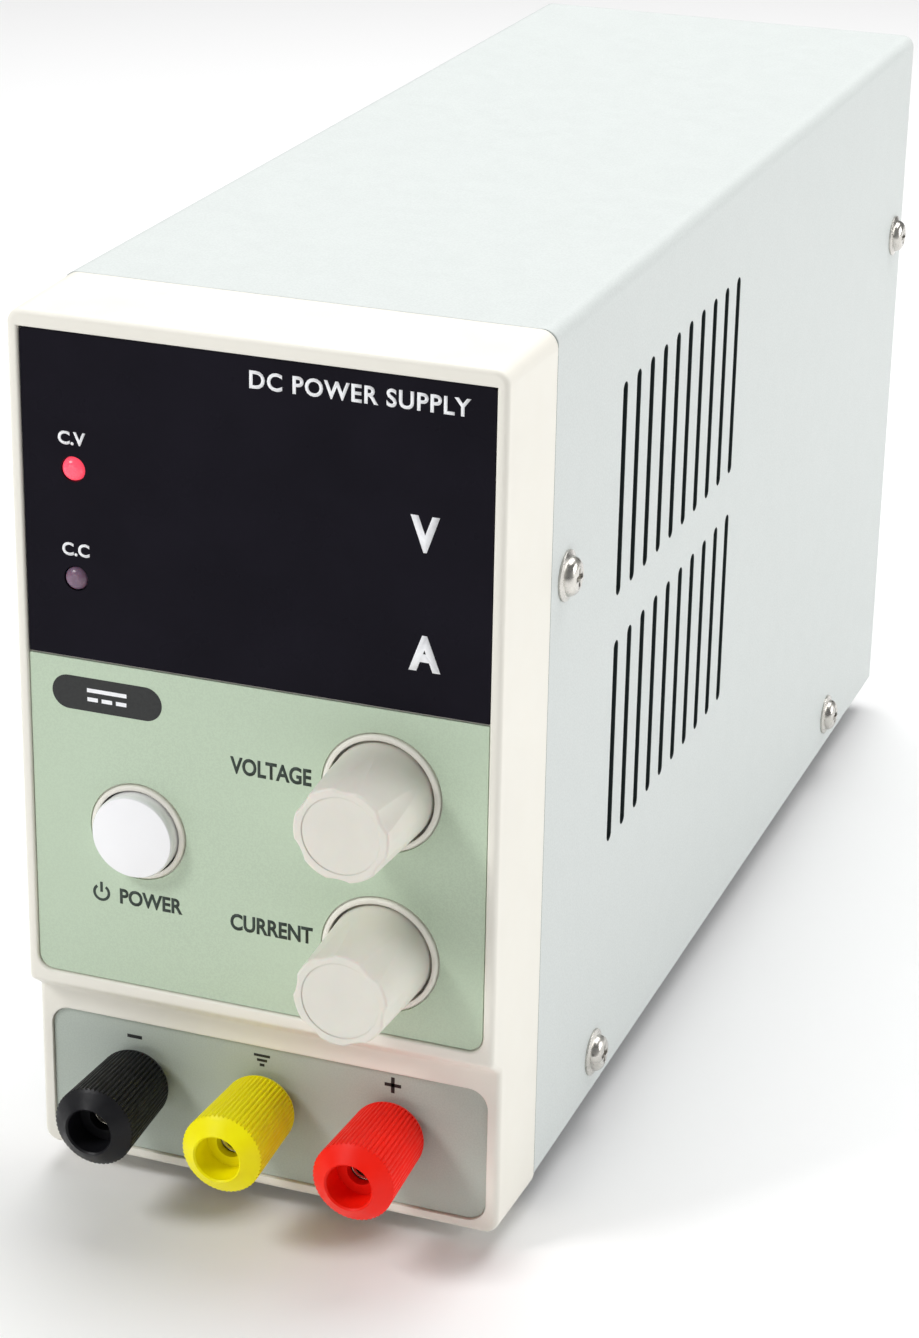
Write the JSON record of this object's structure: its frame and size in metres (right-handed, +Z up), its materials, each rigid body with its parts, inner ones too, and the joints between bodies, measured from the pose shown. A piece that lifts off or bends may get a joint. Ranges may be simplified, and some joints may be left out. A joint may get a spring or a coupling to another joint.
{
  "type": "bench power supply",
  "caption": "Narrow bench DC power supply with display window, two setting knobs, power button, binding posts, slotted steel cover, fan and mains inlet.",
  "frame": {"origin": "on the resting plane, under the middle of the overall width and length", "axes": "+Z up, the front panel faces -Y, +X to the right as seen from the front"},
  "size_m": [0.0906, 0.2828, 0.159],
  "materials": {
    "bezel_plastic": "fine moulded texture, warm white",
    "smoked_window": "smoked acrylic, glossy, nearly black",
    "overlay_film": "printed sage-green polyester film",
    "terminal_film": "printed grey polyester film",
    "powder_coat": "pale grey-green powder coat, fine orange peel",
    "plated_steel": "zinc-plated sheet steel",
    "nickel_screw": "nickel-plated steel",
    "foot_rubber": "moulded rubber",
    "knob_plastic": "satin warm-white plastic",
    "shaft_metal": "turned brass",
    "component_metal": "drawn metal can",
    "button_plastic": "glossy white plastic",
    "black_plastic": "black moulded plastic",
    "circuit_board": "glass-fibre board with green solder mask",
    "display_plastic": "seven-segment display block",
    "red_led": "diffused red lens, lit",
    "unlit_led": "diffused lens, unlit",
    "contact_metal": "nickel-plated brass",
    "black_cap": "black knurled plastic",
    "yellow_cap": "yellow knurled plastic",
    "red_cap": "red knurled plastic",
    "brass_insert": "turned brass",
    "fan_plastic": "black fan plastic",
    "guard_wire": "plated steel wire",
    "inlet_plastic": "black moulded plastic",
    "fuse_glass": "glass tube fuse",
    "selector_red": "red moulded plastic",
    "ferrite": "sintered ferrite",
    "winding_tape": "yellow polyester tape",
    "heatsink": "extruded aluminium",
    "capacitor_sleeve": "dark shrink sleeve over aluminium can",
    "copper_winding": "enamelled copper wire",
    "lead_insulation": "insulated wire"
  },
  "bodies": {
    "instrument": {"front_bezel": "bezel_plastic", "display_window": "smoked_window", "control_overlay": "overlay_film", "terminal_overlay": "terminal_film", "top_cover": "powder_coat", "base_chassis": "plated_steel", "cover_screws": "nickel_screw", "bezel_screws": "nickel_screw", "foot_screws": "nickel_screw", "pcb_screws": "nickel_screw", "fan_screws": "nickel_screw", "rubber_feet": "foot_rubber", "voltage_potentiometer": "component_metal", "current_potentiometer": "component_metal", "pot_nuts": "nickel_screw", "power_switch": "black_plastic", "display_board": "circuit_board", "main_board": "circuit_board", "voltage_display": "display_plastic", "current_display": "display_plastic", "cv_led": "red_led", "cc_led": "unlit_led", "post_studs": "contact_metal", "post_washers": "black_plastic", "post_nuts": "contact_metal", "solder_lugs": "contact_metal", "fan_frame": "fan_plastic", "fan_guard": "guard_wire", "mains_inlet": "inlet_plastic", "inlet_pins": "contact_metal", "voltage_selector": "inlet_plastic", "pcb_standoffs": "brass_insert", "transformer_core": "ferrite", "transformer_winding": "winding_tape", "primary_heatsink": "heatsink", "output_heatsink": "heatsink", "switching_transistors": "black_plastic", "output_rectifiers": "black_plastic", "bridge_rectifier": "black_plastic", "bulk_capacitors": "capacitor_sleeve", "output_capacitors": "capacitor_sleeve", "output_inductor": "copper_winding", "line_filter_choke": "copper_winding", "output_leads": "lead_insulation", "mains_leads": "lead_insulation"},
    "voltage_dial": {"voltage_knob": "knob_plastic", "voltage_shaft": "shaft_metal"},
    "current_dial": {"current_knob": "knob_plastic", "current_shaft": "shaft_metal"},
    "power_button": {"power_button": "button_plastic"},
    "fan_rotor": {"fan_rotor": "fan_plastic"},
    "fuse_drawer": {"fuse_drawer": "inlet_plastic", "fuse": "fuse_glass"},
    "selector_slider": {"selector_slider": "selector_red"},
    "black_insert": {"black_post_insert": "brass_insert"},
    "black_cap": {"black_post_cap": "black_cap"},
    "yellow_insert": {"yellow_post_insert": "brass_insert"},
    "yellow_cap": {"yellow_post_cap": "yellow_cap"},
    "red_insert": {"red_post_insert": "brass_insert"},
    "red_cap": {"red_post_cap": "red_cap"}
  },
  "joints": [
    {"name": "voltage_turn", "type": "hinge", "parent": "instrument", "child": "voltage_dial", "pos_m": [0.0222, -0.1245, 0.0849], "axis": [0, 1, 0], "range_deg": [-150, 150]},
    {"name": "current_turn", "type": "hinge", "parent": "instrument", "child": "current_dial", "pos_m": [0.0222, -0.1245, 0.0557], "axis": [0, 1, 0], "range_deg": [-150, 150]},
    {"name": "power_press", "type": "slide", "parent": "instrument", "child": "power_button", "axis": [0, 1, 0], "range_m": [0, 0.003], "stiffness_N_per_m": 600, "springref_m": -0.002},
    {"name": "fan_spin", "type": "hinge", "parent": "instrument", "child": "fan_rotor", "pos_m": [0, 0.1295, 0.1145], "axis": [0, 1, 0], "continuous": true},
    {"name": "fuse_drawer_pull", "type": "slide", "parent": "instrument", "child": "fuse_drawer", "axis": [0, 1, 0], "range_m": [0, 0.018]},
    {"name": "selector_slide", "type": "slide", "parent": "instrument", "child": "selector_slider", "axis": [0, 0, 1], "range_m": [0, 0.005]},
    {"name": "black_cap_travel", "type": "slide", "parent": "instrument", "child": "black_insert", "axis": [0, -1, 0], "range_m": [0, 0.004]},
    {"name": "black_cap_turn", "type": "hinge", "parent": "black_insert", "child": "black_cap", "pos_m": [-0.0236, -0.12, 0.0211], "axis": [0, -1, 0], "range_deg": [0, 1800.5]},
    {"name": "yellow_cap_travel", "type": "slide", "parent": "instrument", "child": "yellow_insert", "axis": [0, -1, 0], "range_m": [0, 0.004]},
    {"name": "yellow_cap_turn", "type": "hinge", "parent": "yellow_insert", "child": "yellow_cap", "pos_m": [0, -0.12, 0.0211], "axis": [0, -1, 0], "range_deg": [0, 1800.5]},
    {"name": "red_cap_travel", "type": "slide", "parent": "instrument", "child": "red_insert", "axis": [0, -1, 0], "range_m": [0, 0.004]},
    {"name": "red_cap_turn", "type": "hinge", "parent": "red_insert", "child": "red_cap", "pos_m": [0.0236, -0.12, 0.0211], "axis": [0, -1, 0], "range_deg": [0, 1800.5]}
  ],
  "couplings": [
    {"joint": "black_cap_turn", "follows": "black_cap_travel", "rad_per_m": 7854},
    {"joint": "yellow_cap_turn", "follows": "yellow_cap_travel", "rad_per_m": 7854},
    {"joint": "red_cap_turn", "follows": "red_cap_travel", "rad_per_m": 7854}
  ]
}
